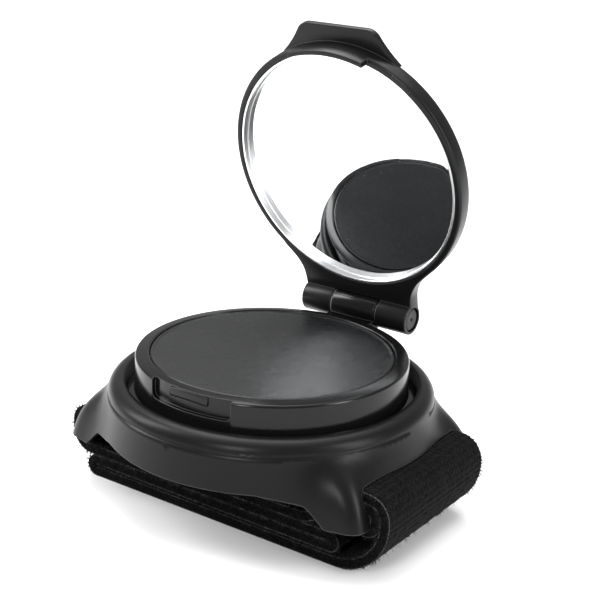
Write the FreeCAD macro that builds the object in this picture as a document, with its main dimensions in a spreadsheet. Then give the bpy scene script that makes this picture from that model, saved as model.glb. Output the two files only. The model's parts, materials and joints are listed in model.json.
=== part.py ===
import FreeCAD, Part
import math
import os
from FreeCAD import Placement, Rotation, Vector
from Sketcher import Constraint

# A folding mirror worn on the wrist.  The base straddles the wrist and takes a strap through its two side
# slots, a round case turns in the base, and a lid with a convex mirror folds down on the case.
# +X runs along the strap and the hinge pin, +Y towards the hinge, +Z up.  The origin is on the surface that the
# folded strap lies on, under the turning axis.  The lid stands open at open_angle.

doc = FreeCAD.newDocument("WristMirror")

SIZES = {
    # turning case
    "case_radius": 30.0,
    "case_height": 9.3,
    "axial_gap": 0.3,
    "rim_width": 3.2,
    "case_top": "=case_bottom + case_height",
    "case_bottom": "=web_top + ring_thickness + axial_gap",
    "case_wall": 2.0,
    "case_floor": 2.0,
    "rim_drop": 0.5,
    "rim_chamfer": 0.3,
    "flange_reach": 1.6,
    "flange_height": 1.0,
    "spindle_radius": 5.0,
    "plate_radius": "=case_radius - rim_width",
    "plate_thickness": 1.4,
    "plate_recess": 0.4,
    "plate_clearance": 0.1,
    "seat_width": 1.6,
    "seat_height": 1.2,
    "glue_thickness": 0.2,
    "recess_half_width": 10.3,
    "recess_depth": 1.0,
    "recess_height": 4.5,
    "nib_half_width": 5.0,
    "nib_drop": 0.6,
    "nib_height": 1.8,
    "nib_reach": 0.7,
    # base
    "lip_radius": "=case_radius + lip_gap",
    "lip_gap": 2.2,
    "lip_rise": 3.05,
    "shoulder_width": 3.8,
    "lip_height": "=shoulder_height + lip_rise",
    "shoulder_radius": "=lip_radius + shoulder_width",
    "shoulder_height": "=lug_bottom + lug_height",
    "foot_spread": 1.9,
    "side_swell": 1.1,
    "lug_flare": 7.0,
    "lug_bearing": 31.0,
    "lug_bottom": "=4 * strap_thickness + patch_thickness + fold_gap + 2 * strap_play + lug_lift",
    "lug_lift": 1.5,
    "lug_height": 13.6,
    "skirt_wall": 2.2,
    "arch_height": "=lug_bottom + arch_rise",
    "arch_half_width": "=arch_foot - arch_flank",
    "arch_foot": "=shoulder_radius - arch_inset",
    "arch_rise": 5.8,
    "arch_flank": 8.5,
    "arch_inset": 4.0,
    "bar_height": 2.8,
    "slot_height": "=2 * strap_thickness + slot_ease",
    "slot_half_width": "=strap_width / 2 + slot_gap",
    "slot_ease": 0.5,
    "slot_gap": 0.8,
    "web_top": "=shoulder_height - web_drop",
    "web_thickness": 2.0,
    "web_drop": 1.0,
    "ring_thickness": 0.4,
    "ring_inner_radius": "=ring_outer_radius - ring_width",
    "ring_outer_radius": "=case_radius - ring_inset",
    "ring_width": 5.0,
    "ring_inset": 1.0,
    "swivel_gap": 0.06,
    "cover_radius": "=shoulder_radius - cover_margin",
    "cover_margin": 6.5,
    "boss_inset": 5.5,
    "cover_thickness": 1.8,
    "cover_drop": 4.0,
    "boss_radius": 3.2,
    "screw_circle": "=cover_radius - boss_inset",
    "cover_screw_radius": 1.25,
    "cover_screw_bite": 4.6,
    "cover_head_radius": 2.3,
    "cover_head_height": 1.1,
    "head_clearance": 0.15,
    # turning axis
    "swivel_screw_radius": 1.5,
    "swivel_head_radius": 3.0,
    "swivel_head_height": 1.2,
    "disc_radius": "=spindle_radius + disc_overlap",
    "disc_overlap": 3.0,
    "spring_inset": 0.4,
    "disc_thickness": 1.2,
    "spring_height": 0.7,
    "spring_sheet": 0.3,
    "spring_radius": "=disc_radius - spring_inset",
    "running_gap": 0.3,
    # hinge
    "hinge_back": "=case_radius + hinge_reach",
    "hinge_reach": 5.05,
    "hinge_rise": 0.9,
    "knuckle_radius": 3.65,
    "hinge_half_length": 14.5,
    "middle_half_length": 6.0,
    "hinge_washer": 0.3,
    "washer_radius": 3.2,
    "hinge_gap": 0.1,
    "notch_gap": 0.4,
    "pin_radius": 1.3,
    "pin_clearance": 0.04,
    "cap_radius": 2.85,
    "cap_thickness": 0.8,
    "open_angle": 74.8,
    # lid
    "lid_radius": "=case_radius",
    "lid_offset": "=hinge_back + lid_shift",
    "lid_shift": 0.83,
    "lid_gap": 0.45,
    "lid_depth": 4.6,
    "lid_back": 1.1,
    "lid_round": 1.2,
    "neck_thickness": 3.7,
    "neck_half_width": "=2 * lid_radius / 3",
    "mirror_opening": "=lid_radius - mirror_rim",
    "mirror_rim": 1.5,
    "mirror_clearance": 0.1,
    "mirror_edge_wall": 0.5,
    "mirror_edge_depth": 1.7,
    "mirror_bulge": 2.25,
    "pad_thickness": 0.2,
    "pad_radius": "=mirror_opening - pad_inset",
    "pad_inset": 3.5,
    "tab_reach": "=lid_radius + tab_overhang",
    "tab_overhang": 3.5,
    "tab_half_width": 9.3,
    "tab_round": 2.0,
    "tab_foot_half_width": 15.2,
    "tab_thickness": 1.5,
    "ledge_half_width": 9.4,
    "ledge_height": 2.7,
    "ledge_thickness": 1.1,
    # strap
    "strap_width": 38.0,
    "strap_thickness": 2.2,
    "strap_play": 0.05,
    "strap_ease": 0.2,
    "fold_gap": 0.3,
    "fold_reach": "=shoulder_radius - fold_inset",
    "return_reach": "=shoulder_radius - return_inset",
    "wrap_radius": "=strap_thickness / 2 + bar_bend",
    "outer_bend": 11.8,
    "left_slack": 0.9,
    "patch_start": -12.0,
    "patch_length": 40.0,
    "patch_thickness": 0.7,
    "stitch_length": 2.4,
    "stitch_width": 0.6,
    "stitch_height": 0.25,
    "binding_thickness": 0.25,
    "binding_length": 1.5,
    "tuck_reach": "=shoulder_radius - tuck_inset",
    "fold_inset": 4.5,
    "return_inset": 1.0,
    "tuck_inset": 3.4,
    "bar_bend": 0.8,
}

sheet = doc.addObject("Spreadsheet::Sheet", "Sizes")
for row, alias in enumerate(SIZES, start=1):
    sheet.set("A%d" % row, alias)
    sheet.setAlias("B%d" % row, alias)
for row, value in enumerate(SIZES.values(), start=1):
    sheet.set("B%d" % row, str(value))
doc.recompute()

# heights that several pieces share
SPINDLE_END = "web_top - web_thickness - running_gap - spring_height"
COVER_TOP = "web_top - web_thickness - cover_drop"
SEAT_TOP = "case_top - plate_recess - plate_thickness - glue_thickness"
HINGE_HEIGHT = "case_top + hinge_rise"
LID_FACE = "lid_gap - hinge_rise"
STITCHES_ACROSS = 9
NODES = []


def size(alias):
    """The value of one cell of the sheet."""
    return float(sheet.get(alias))


def named(formula):
    """The formula with each alias written as a cell of the sheet."""
    words = formula.replace("(", "( ").replace(")", " )").split()
    return " ".join("Sizes." + word if word in SIZES else word for word in words)


def value_of(formula):
    """What a formula on the sheet comes to."""
    sheet.set("D1", "=" + formula)
    sheet.recompute()
    answer = float(sheet.get("D1"))
    sheet.clear("D1")
    return answer


def bind(thing, **formulas):
    """Ties properties of one object to the sheet.  Two underscores stand for a dot."""
    for name, formula in formulas.items():
        thing.setExpression(name.replace("__", "."), named(formula))
    return thing


def node(thing, label):
    """Marks a finished sub-part."""
    thing.Label = label
    NODES.append(thing)
    return thing


def cylinder(name, radius, height, bottom="0", y="0"):
    body = doc.addObject("Part::Cylinder", name)
    return bind(body, Radius=radius, Height=height, Placement__Base__y=y, Placement__Base__z=bottom)


def box(name, half_width, y_low, y_high, z_low, z_high):
    """A box centred on the plane X = 0."""
    body = doc.addObject("Part::Box", name)
    return bind(body, Length="2 * " + half_width, Width="(%s) - (%s)" % (y_high, y_low),
                Height="(%s) - (%s)" % (z_high, z_low), Placement__Base__x="0 - " + half_width,
                Placement__Base__y=y_low, Placement__Base__z=z_low)


def lying(name, radius, half_length, y="0", z="0"):
    """A cylinder along X, centred on the plane X = 0.  Its half length is in brackets."""
    body = doc.addObject("Part::Cylinder", name)
    body.Placement = Placement(Vector(0, 0, 0), Rotation(Vector(0, 1, 0), 90))
    return bind(body, Radius=radius, Height="2 * " + half_length, Placement__Base__x="0 - " + half_length,
                Placement__Base__y=y, Placement__Base__z=z)


def cut(name, base, tool):
    body = doc.addObject("Part::Cut", name)
    body.Base = base
    body.Tool = tool
    return body


def common(name, base, tool):
    body = doc.addObject("Part::Common", name)
    body.Base = base
    body.Tool = tool
    return body


def fuse(name, *shapes):
    body = doc.addObject("Part::MultiFuse", name)
    body.Shapes = list(shapes)
    return body


def made(name, shape):
    """A body whose shape Part's own functions make."""
    body = doc.addObject("Part::Feature", name)
    body.Shape = shape
    return body


def turned(name, corners):
    """A body turned about Z.  Each corner is a radius and a height, written as formulas."""
    body = doc.addObject("PartDesign::Body", name)
    plane = [feature for feature in body.Origin.OriginFeatures if feature.Role == "XZ_Plane"][0]
    sketch = body.newObject("Sketcher::SketchObject", name + "Profile")
    sketch.AttachmentSupport = (plane, "")
    sketch.MapMode = "FlatFace"
    start = [Vector(value_of(radius), value_of(height), 0) for radius, height in corners]
    count = len(corners)
    for k in range(count):
        sketch.addGeometry(Part.LineSegment(start[k], start[(k + 1) % count]), False)
    for k in range(count):
        sketch.addConstraint(Constraint("Coincident", k, 2, (k + 1) % count, 1))
    for k, (radius, height) in enumerate(corners):
        if start[k].x == 0:
            sketch.addConstraint(Constraint("PointOnObject", k, 1, -2))
        else:
            index = sketch.addConstraint(Constraint("DistanceX", -1, 1, k, 1, start[k].x))
            sketch.setExpression("Constraints[%d]" % index, named(radius))
        if start[k].y == 0:
            sketch.addConstraint(Constraint("PointOnObject", k, 1, -1))
        else:
            index = sketch.addConstraint(Constraint("DistanceY", -1, 1, k, 1, start[k].y))
            sketch.setExpression("Constraints[%d]" % index, named(height))
    turn = body.newObject("PartDesign::Revolution", name + "Turn")
    turn.Profile = sketch
    turn.ReferenceAxis = (sketch, ["V_Axis"])
    turn.Angle = 360.0
    body.Tip = turn
    return body


def arc_wall(name, outer, inner, half_width, y_low, y_high, z_low, z_high, y="0"):
    """A stretch of a round wall: a ring about Z, cut off by a box."""
    height = "(%s) - (%s)" % (z_high, z_low)
    ring = cut(name + "Ring", cylinder(name + "Outer", outer, height, z_low, y),
               cylinder(name + "Inner", inner, height, z_low, y))
    return common(name, ring, box(name + "Box", half_width, y_low, y_high, z_low, z_high))


# ---- base ----------------------------------------------------------------------------------------------------

LUG_START = 0.41
LUG_ONSET = 1.6
FOOT_ONSET = 1.4
LUG_SIDE_SPAN = 6.2
LUG_FRONT_SPAN = 5.0
SWELL_SPAN = 18.0
SKIRT_POINTS = 120
STRAP_SLOPE = 30


def skirt_radius(bearing, height):
    """The skirt's outer radius.  It is round under the shoulder and spreads into four lugs lower down."""
    depth = (size("shoulder_height") - height) / (size("shoulder_height") - size("lug_bottom"))
    depth = max(depth, 0.0)
    growth = 1 - math.exp(-((depth / LUG_START) ** LUG_ONSET))
    fold = math.degrees(math.atan2(abs(math.sin(bearing)), abs(math.cos(bearing))))
    off = fold - size("lug_bearing")
    lug = math.exp(1 - math.hypot(1, off / (LUG_SIDE_SPAN if off < 0 else LUG_FRONT_SPAN)))
    side = math.exp(-((fold / SWELL_SPAN) ** 2))
    return (size("shoulder_radius") + size("foot_spread") * depth ** FOOT_ONSET
            + growth * (size("lug_flare") * lug + size("side_swell") * side))


def skirt_section(height, inset):
    points = []
    for step in range(SKIRT_POINTS):
        bearing = 2 * math.pi * step / SKIRT_POINTS
        reach = skirt_radius(bearing, height) - inset
        points.append(Vector(reach * math.cos(bearing), reach * math.sin(bearing), height))
    curve = Part.BSplineCurve()
    curve.interpolate(points, PeriodicFlag=True)
    return Part.Wire(curve.toShape())


def skirt_solid(top, bottom, inset, count):
    sections = [skirt_section(top + (bottom - top) * k / (count - 1), inset) for k in range(count)]
    return Part.makeLoft(sections, True, False)


def rounded_outline(corners, level):
    """A closed wire at one height through corners (x, y, radius), each rounded by its own radius."""
    edges = []
    ends = []
    count = len(corners)
    for k in range(count):
        here = Vector(corners[k][0], corners[k][1], level)
        before = Vector(corners[k - 1][0], corners[k - 1][1], level) - here
        after = Vector(corners[(k + 1) % count][0], corners[(k + 1) % count][1], level) - here
        half = before.getAngle(after) / 2
        before.normalize()
        after.normalize()
        radius = corners[k][2]
        back = radius / math.tan(half)
        middle = (before + after).normalize() * (radius / math.sin(half) - radius)
        ends.append((here + before * back, here + middle, here + after * back, radius > 0))
    for k in range(count):
        first, middle, last, is_round = ends[k]
        if is_round:
            edges.append(Part.Arc(first, middle, last).toShape())
        following = ends[(k + 1) % count][0]
        if (following - last).Length > 1e-6:
            edges.append(Part.makeLine(last, following))
    return Part.Wire(edges)


def prism(corners, low, high):
    return Part.Face(rounded_outline(corners, low)).extrude(Vector(0, 0, high - low))


def saddle_shape():
    web_under = size("web_top") - size("web_thickness")
    bottom = size("lug_bottom")
    shoulder = size("shoulder_height")
    radius = size("shoulder_radius")
    lip = size("lip_radius")
    top = size("lip_height")
    # the shoulder rolls over from the lip to the skirt
    roll = Part.Arc(Vector(lip + 0.8, 0, top), Vector(radius - 1.0, 0, (top + shoulder) / 2 + 0.75),
                    Vector(radius - 0.02, 0, shoulder)).toShape()
    inside = Vector(lip - 0.5, 0, shoulder - 0.5)
    rim = Part.Wire([Part.makeLine(inside, Vector(lip - 0.5, 0, top)),
                     Part.makeLine(Vector(lip - 0.5, 0, top), Vector(lip + 0.8, 0, top)), roll,
                     Part.makeLine(Vector(radius - 0.02, 0, shoulder), Vector(radius - 0.5, 0, inside.z)),
                     Part.makeLine(Vector(radius - 0.5, 0, inside.z), inside)])
    shell = skirt_solid(shoulder, bottom, 0.0, 9)
    shell = shell.fuse(Part.Face(rim).revolve(Vector(0, 0, 0), Vector(0, 0, 1), 360))
    well = Part.makeCylinder(lip, top, Vector(0, 0, size("web_top")))
    bore = Part.makeCylinder(size("spindle_radius") + size("swivel_gap"), top)
    # the front and back arches, whose feet run down to the lugs in an S
    reach = 2 * radius
    rise = size("arch_height")
    half = size("arch_half_width")
    foot = size("arch_foot")
    low = bottom - 5
    bend = (foot - half) / 2
    arch = prism([(-foot, low, 0.0), (foot, low, 0.0), (foot, bottom, 0.0), (half + bend, rise - bend * 0.4, 2.5),
                  (half - bend, rise, 5.0), (bend - half, rise, 5.0), (-half - bend, rise - bend * 0.4, 2.5),
                  (-foot, bottom, 0.0)], -reach, reach)
    arch.rotate(Vector(0, 0, 0), Vector(1, 0, 0), 90)
    # a slot through each side, over the bar that holds the strap
    slot_low = bottom + size("bar_height")
    slot_high = slot_low + size("slot_height")
    wide = size("slot_half_width")
    end = 0.48 * size("slot_height")
    slot = prism([(-slot_high, -wide, end), (-slot_low, -wide, end), (-slot_low, wide, end),
                  (-slot_high, wide, end)], radius - 3.5, reach)
    slot.rotate(Vector(0, 0, 0), Vector(0, 1, 0), 90)
    other_slot = slot.copy()
    other_slot.rotate(Vector(0, 0, 0), Vector(0, 0, 1), 180)
    cavity = skirt_solid(web_under, bottom - 1, size("skirt_wall"), 8)
    shell = shell.cut([cavity, well, bore, arch, slot, other_slot])
    cover_top = value_of(COVER_TOP)
    bosses = []
    drills = []
    for k in range(4):
        place = Rotation(Vector(0, 0, 1), 45 + 90 * k).multVec(Vector(size("screw_circle"), 0, cover_top))
        bosses.append(Part.makeCylinder(size("boss_radius"), web_under + 0.5 - cover_top, place))
        drills.append(Part.makeCylinder(size("cover_screw_radius"), size("cover_screw_bite"), place))
    return shell.fuse(bosses).cut(drills)


def base_cover():
    blank = cylinder("CoverBlank", "cover_radius", "cover_thickness", COVER_TOP + " - cover_thickness")
    drills = []
    for k in range(4):
        step = "%d deg" % (45 + 90 * k)
        where = {"Placement__Base__x": "screw_circle * cos( %s )" % step,
                 "Placement__Base__y": "screw_circle * sin( %s )" % step}
        hole = cylinder("CoverHole%d" % k, "cover_screw_radius + head_clearance", "2 * cover_thickness",
                        COVER_TOP + " - cover_thickness")
        well = cylinder("CoverWell%d" % k, "cover_head_radius + head_clearance", "cover_head_height",
                        COVER_TOP + " - cover_thickness")
        drills += [bind(hole, **where), bind(well, **where)]
    return node(cut("Cover", blank, fuse("CoverDrills", *drills)), "base_cover")


def cover_screws():
    screws = []
    for k in range(4):
        step = "%d deg" % (45 + 90 * k)
        where = {"Placement__Base__x": "screw_circle * cos( %s )" % step,
                 "Placement__Base__y": "screw_circle * sin( %s )" % step}
        head = cylinder("CoverHead%d" % k, "cover_head_radius", "cover_head_height",
                        COVER_TOP + " - cover_thickness")
        shank = cylinder("CoverShank%d" % k, "cover_screw_radius",
                         "cover_thickness + cover_screw_bite - 0.2", COVER_TOP + " - cover_thickness")
        screws += [bind(head, **where), bind(shank, **where)]
    return node(fuse("CoverScrews", *screws), "cover_screws")


def bearing_ring():
    ring = cut("BearingRing", cylinder("RingOuter", "ring_outer_radius", "ring_thickness", "web_top"),
               cylinder("RingInner", "ring_inner_radius", "ring_thickness", "web_top"))
    return node(ring, "bearing_ring")


# ---- strap ---------------------------------------------------------------------------------------------------

def band_face(route, half):
    """The side view of a strap whose middle line runs through corners (x, z, radius)."""
    points = [Vector(x, 0, z) for x, z, radius in route]
    sides = {1: [], -1: []}
    last = points[0]
    for k in range(1, len(points)):
        run = (points[k] - points[k - 1]).normalize()
        normal = Vector(-run.z, 0, run.x)
        if k == len(points) - 1:
            stop = points[k]
        else:
            onward = (points[k + 1] - points[k]).normalize()
            turn = run.getAngle(onward)
            radius = route[k][2]
            back = radius * math.tan(turn / 2)
            stop = points[k] - run * back
        for side, edges in sides.items():
            if (stop - last).Length > 1e-6:
                edges.append(Part.makeLine(last + normal * half * side, stop + normal * half * side))
        if k == len(points) - 1:
            break
        hand = 1 if run.cross(onward).y < 0 else -1
        centre = stop + normal * radius * hand
        middle = (points[k] - centre).normalize()
        after = points[k] + onward * back
        out = (after - centre).normalize()
        first = (stop - centre).normalize()
        for side, edges in sides.items():
            reach = radius - half * side * hand
            edges.append(Part.Arc(centre + first * reach, centre + middle * reach,
                                  centre + out * reach).toShape())
        last = after
    start_cap = Part.makeLine(sides[1][0].Vertexes[0].Point, sides[-1][0].Vertexes[0].Point)
    end_cap = Part.makeLine(sides[1][-1].Vertexes[-1].Point, sides[-1][-1].Vertexes[-1].Point)
    return Part.Face(Part.Wire(Part.__sortEdges__(sides[1] + sides[-1] + [start_cap, end_cap])))


def strap_levels():
    """The middle heights of the four layers under the base, from the lowest."""
    thick = size("strap_thickness")
    play = size("strap_play")
    first = thick / 2
    second = first + thick + size("patch_thickness") + play
    third = second + thick + size("fold_gap")
    return first, second, third, third + thick + play


def strap_wrap():
    """Where the strap passes the bars: under it, over it, beside it, and the outer layer over and beside."""
    thick = size("strap_thickness")
    play = size("strap_play")
    under = size("lug_bottom") - play - thick / 2
    over = size("lug_bottom") + size("bar_height") + play + thick / 2
    beside = skirt_radius(0.0, size("lug_bottom")) + size("strap_ease") + thick / 2
    return under, over, beside, over + thick + play, beside + thick + size("strap_ease")


def strap_route():
    """The strap's middle line: sewn round the right bar, across, round the left bar, folded, and back over."""
    low, second, third, top = strap_levels()
    under, over, beside, outer_over, outer_beside = strap_wrap()
    half = size("strap_thickness") / 2
    wrap = size("wrap_radius")
    left = beside + size("left_slack")
    inside = size("shoulder_radius") - 1.4
    slope = (over - top) / math.tan(math.radians(STRAP_SLOPE))
    fold = size("fold_reach") - half
    turn_back = size("return_reach") - half
    return [
        (size("tuck_reach") - 2.0, under, 0.0),
        (beside, under, wrap),
        (beside, over, wrap),
        (inside, over, 6.0),
        (inside - slope, top, 6.0),
        (slope - inside, top, 6.0),
        (-inside, over, 6.0),
        (-left, over, 1.4 * wrap),
        (-left, third, 4.2),
        (fold, third, (third - second) / 2),
        (fold, second, (third - second) / 2),
        (-turn_back, second, (second - low) / 2),
        (-turn_back, low, (second - low) / 2),
        (outer_beside, low, size("outer_bend")),
        (outer_beside, outer_over, 2 * wrap),
        (size("tuck_reach"), outer_over, 0.0),
    ]


def across(face):
    """A side view thickened to the strap's width, centred on the plane Y = 0."""
    width = size("strap_width")
    return face.translated(Vector(0, -width / 2, 0)).extrude(Vector(0, width, 0))


def side_box(x_low, x_high, z_low, z_high, y_low, y_high):
    return Part.makeBox(x_high - x_low, y_high - y_low, z_high - z_low, Vector(x_low, y_low, z_low))


def strap():
    shape = across(band_face(strap_route(), size("strap_thickness") / 2))
    return node(made("Strap", shape), "strap")


def hook_patch():
    start = size("patch_start")
    low = size("strap_thickness")
    half = size("strap_width") / 2 - 1.0
    shape = side_box(start, start + size("patch_length"), low, low + size("patch_thickness"), -half, half)
    return node(made("HookPatch", shape), "hook_patch")


def strap_stitches():
    under = strap_wrap()[0] - size("strap_thickness") / 2
    pitch = size("strap_width") / STITCHES_ACROSS
    length = size("stitch_length")
    half = size("stitch_width") / 2
    first = size("tuck_reach") - 1.4
    pieces = []
    for row in range(2):
        start = first + row * 1.3 * length
        for k in range(STITCHES_ACROSS):
            middle = (k - (STITCHES_ACROSS - 1) / 2) * pitch
            pieces.append(side_box(start, start + length, under - size("stitch_height"), under,
                                   middle - half, middle + half))
    return node(made("Stitches", Part.makeCompound(pieces)), "strap_stitches")


def strap_binding():
    middle = strap_wrap()[3]
    half = size("strap_thickness") / 2
    skin = size("binding_thickness")
    end = size("tuck_reach")
    wide = size("strap_width") / 2
    outside = side_box(end - skin, end + size("binding_length"), middle - half - skin, middle + half + skin,
                       -wide, wide)
    inside = side_box(end, end + size("binding_length"), middle - half, middle + half, -wide, wide)
    return node(made("Binding", outside.cut(inside)), "strap_end_binding")


# ---- turning case --------------------------------------------------------------------------------------------

def turning_case():
    cup = turned("CaseCup", [
        ("swivel_screw_radius", SPINDLE_END),
        ("spindle_radius", SPINDLE_END),
        ("spindle_radius", "case_bottom"),
        ("case_radius + flange_reach", "case_bottom"),
        ("case_radius + flange_reach", "case_bottom + flange_height"),
        ("case_radius", "case_bottom + flange_height"),
        ("case_radius", "case_top - rim_drop - rim_chamfer"),
        ("case_radius - rim_chamfer", "case_top - rim_drop"),
        ("plate_radius + plate_clearance", "case_top"),
        ("plate_radius + plate_clearance", SEAT_TOP),
        ("plate_radius - seat_width", SEAT_TOP),
        ("plate_radius - seat_width", SEAT_TOP + " - seat_height"),
        ("case_radius - case_wall", SEAT_TOP + " - seat_height - (case_radius - case_wall)"
         " + (plate_radius - seat_width)"),
        ("case_radius - case_wall", "case_bottom + case_floor"),
        ("swivel_screw_radius", "case_bottom + case_floor"),
    ])
    knuckle = lying("MiddleKnuckle", "knuckle_radius", "(middle_half_length)", "hinge_back", HINGE_HEIGHT)
    arm = box("HingeArm", "(middle_half_length)", "case_radius - 0.9 * case_wall", "hinge_back",
              HINGE_HEIGHT + " - knuckle_radius", "case_top - rim_drop")
    recess = arc_wall("Recess", "case_radius + 1", "case_radius - recess_depth", "(recess_half_width)",
                      "0 - case_radius - 1", "0", "case_top - recess_height", "case_top + 1")
    nib = arc_wall("Nib", "case_radius - recess_depth + nib_reach", "case_radius - recess_depth - 0.2",
                   "(nib_half_width)", "0 - case_radius", "0", "case_top - nib_drop - nib_height",
                   "case_top - nib_drop")
    bore = lying("MiddleBore", "pin_radius + pin_clearance", "(hinge_half_length)", "hinge_back", HINGE_HEIGHT)
    blank = fuse("CaseBlank", cut("CaseOpened", cup, recess), knuckle, arm, nib)
    return node(cut("Case", blank, bore), "turning_case")


def face_plate():
    plate = cylinder("Plate", "plate_radius", "plate_thickness", "case_top - plate_recess - plate_thickness")
    return node(plate, "face_plate")


def plate_adhesive():
    ring = cut("PlateAdhesive", cylinder("GlueOuter", "plate_radius", "glue_thickness", SEAT_TOP),
               cylinder("GlueInner", "plate_radius - seat_width", "glue_thickness", SEAT_TOP))
    return node(ring, "plate_adhesive")


def retaining_disc():
    disc = cut("RetainingDisc", cylinder("DiscBlank", "disc_radius", "disc_thickness",
                                         SPINDLE_END + " - disc_thickness"),
               cylinder("DiscHole", "swivel_screw_radius", "disc_thickness", SPINDLE_END + " - disc_thickness"))
    return node(disc, "retaining_disc")


def spring_washer():
    washer = turned("SpringWasher", [
        ("spindle_radius + 0.2", SPINDLE_END),
        ("spindle_radius + 0.6", SPINDLE_END),
        ("spring_radius", SPINDLE_END + " + spring_height - spring_sheet"),
        ("spring_radius", SPINDLE_END + " + spring_height"),
        ("spindle_radius + 0.2", SPINDLE_END + " + spring_sheet"),
    ])
    return node(washer, "spring_washer")


def swivel_screw():
    screw = turned("SwivelScrew", [
        ("0", SPINDLE_END + " - disc_thickness - swivel_head_height"),
        ("swivel_head_radius - 0.5", SPINDLE_END + " - disc_thickness - swivel_head_height"),
        ("swivel_head_radius", SPINDLE_END + " - disc_thickness - swivel_head_height / 2"),
        ("swivel_head_radius", SPINDLE_END + " - disc_thickness"),
        ("swivel_screw_radius", SPINDLE_END + " - disc_thickness"),
        ("swivel_screw_radius", "case_bottom + case_floor - 0.2"),
        ("0", "case_bottom + case_floor - 0.2"),
    ])
    return node(screw, "swivel_screw")


# ---- lid: each piece is drawn closed, about the hinge axis, and then turned open --------------------------------

def opened(thing, label):
    thing.Placement = Placement(Vector(0, 0, 0), Rotation(Vector(1, 0, 0), -10))
    bind(thing, Placement__Base__y="hinge_back", Placement__Base__z=HINGE_HEIGHT,
         Placement__Rotation__Angle="0 - open_angle")
    return node(thing, label)


def neck_shape():
    """The flared neck between the ring and the knuckles."""
    face = value_of(LID_FACE)
    narrow = size("hinge_half_length")
    wide = size("neck_half_width")
    joins = -size("lid_offset") + math.sqrt(size("lid_radius") ** 2 - wide ** 2)
    outline = [(-narrow, 0.0, 0.0), (-narrow, joins / 2, 8.0), (-wide, joins, 0.0), (wide, joins, 0.0),
               (narrow, joins / 2, 8.0), (narrow, 0.0, 0.0)]
    return prism(outline, face, face + size("neck_thickness"))


def tab_shape():
    face = value_of(LID_FACE)
    back = face + size("lid_depth")
    tip = -size("lid_offset") - size("tab_reach")
    foot = size("tab_foot_half_width")
    joins = -size("lid_offset") - math.sqrt(size("lid_radius") ** 2 - foot ** 2)
    wide = size("tab_half_width")
    outline = [(-foot, joins, 0.0), (-wide, tip, size("tab_round")), (wide, tip, size("tab_round")),
               (foot, joins, 0.0)]
    return prism(outline, back - size("tab_thickness"), back)


def lid_frame():
    disc = turned("LidDisc", [
        ("0", "lid_depth - lid_back"),
        ("mirror_opening", "lid_depth - lid_back"),
        ("mirror_opening", "0"),
        ("lid_radius - rim_chamfer", "0"),
        ("lid_radius", "rim_chamfer"),
        ("lid_radius", "lid_depth - lid_round"),
        ("lid_radius - lid_round", "lid_depth"),
        ("0", "lid_depth"),
    ])
    bind(disc, Placement__Base__y="0 - lid_offset", Placement__Base__z=LID_FACE)
    ledge = arc_wall("Ledge", "lid_radius", "lid_radius - ledge_thickness", "(ledge_half_width)",
                     "0 - lid_offset - lid_radius", "0 - lid_offset", LID_FACE + " - ledge_height",
                     LID_FACE + " + rim_chamfer", "0 - lid_offset")
    barrel = lying("OuterKnuckles", "knuckle_radius", "(hinge_half_length)")
    blank = fuse("LidBlank", disc, made("Neck", neck_shape()), made("Tab", tab_shape()), ledge, barrel)
    pocket = cylinder("LidPocket", "mirror_opening", "lid_depth - lid_back", LID_FACE, "0 - lid_offset")
    notch = lying("Notch", "knuckle_radius + notch_gap", "(middle_half_length + hinge_gap + hinge_washer)")
    bore = lying("LidBore", "pin_radius", "(hinge_half_length + 1)")
    sockets = cut("CapSockets", lying("SocketBlank", "cap_radius", "(hinge_half_length + 1)"),
                  lying("SocketCore", "cap_radius + 1", "(hinge_half_length - cap_thickness)"))
    return opened(cut("Lid", blank, fuse("LidTools", pocket, notch, bore, sockets)), "lid_frame")


def mirror_insert():
    """A dish with a low wall round its edge and a domed middle that faces the case."""
    edge = "lid_depth - lid_back - pad_thickness"
    rim = cut("MirrorRim",
              cylinder("MirrorOuter", "mirror_opening - mirror_clearance", edge + " - mirror_clearance",
                       LID_FACE + " + mirror_clearance", "0 - lid_offset"),
              cylinder("MirrorInner", "mirror_opening - mirror_clearance - mirror_edge_wall", "2 * lid_depth",
                       LID_FACE, "0 - lid_offset"))
    span = "(mirror_opening - mirror_clearance - mirror_edge_wall)"
    curve = "(( %s ^ 2 + mirror_bulge ^ 2 ) / ( 2 * mirror_bulge ))" % span
    ball = doc.addObject("Part::Sphere", "MirrorBall")
    bind(ball, Radius=curve, Placement__Base__y="0 - lid_offset",
         Placement__Base__z=LID_FACE + " + mirror_edge_depth - mirror_bulge + " + curve)
    slab = cylinder("MirrorSlab", span, edge + " + mirror_bulge", LID_FACE + " - mirror_bulge", "0 - lid_offset")
    return opened(fuse("Mirror", rim, common("MirrorDome", slab, ball)), "mirror_insert")


def mirror_pad():
    pad = cylinder("MirrorPad", "pad_radius", "pad_thickness",
                   LID_FACE + " + lid_depth - lid_back - pad_thickness", "0 - lid_offset")
    pocket = cylinder("PadPocket", "mirror_opening", "lid_depth", LID_FACE, "0 - lid_offset")
    return opened(common("MirrorPadPiece", pad, pocket), "mirror_pad")


def hinge_pin():
    pin = lying("HingePin", "pin_radius", "(hinge_half_length - cap_thickness)", "hinge_back", HINGE_HEIGHT)
    return node(pin, "hinge_pin")


def pin_caps():
    caps = cut("PinCaps", lying("CapBlank", "cap_radius", "(hinge_half_length)", "hinge_back", HINGE_HEIGHT),
               lying("CapCore", "cap_radius + 1", "(hinge_half_length - cap_thickness)", "hinge_back",
                     HINGE_HEIGHT))
    return node(caps, "pin_caps")


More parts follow.
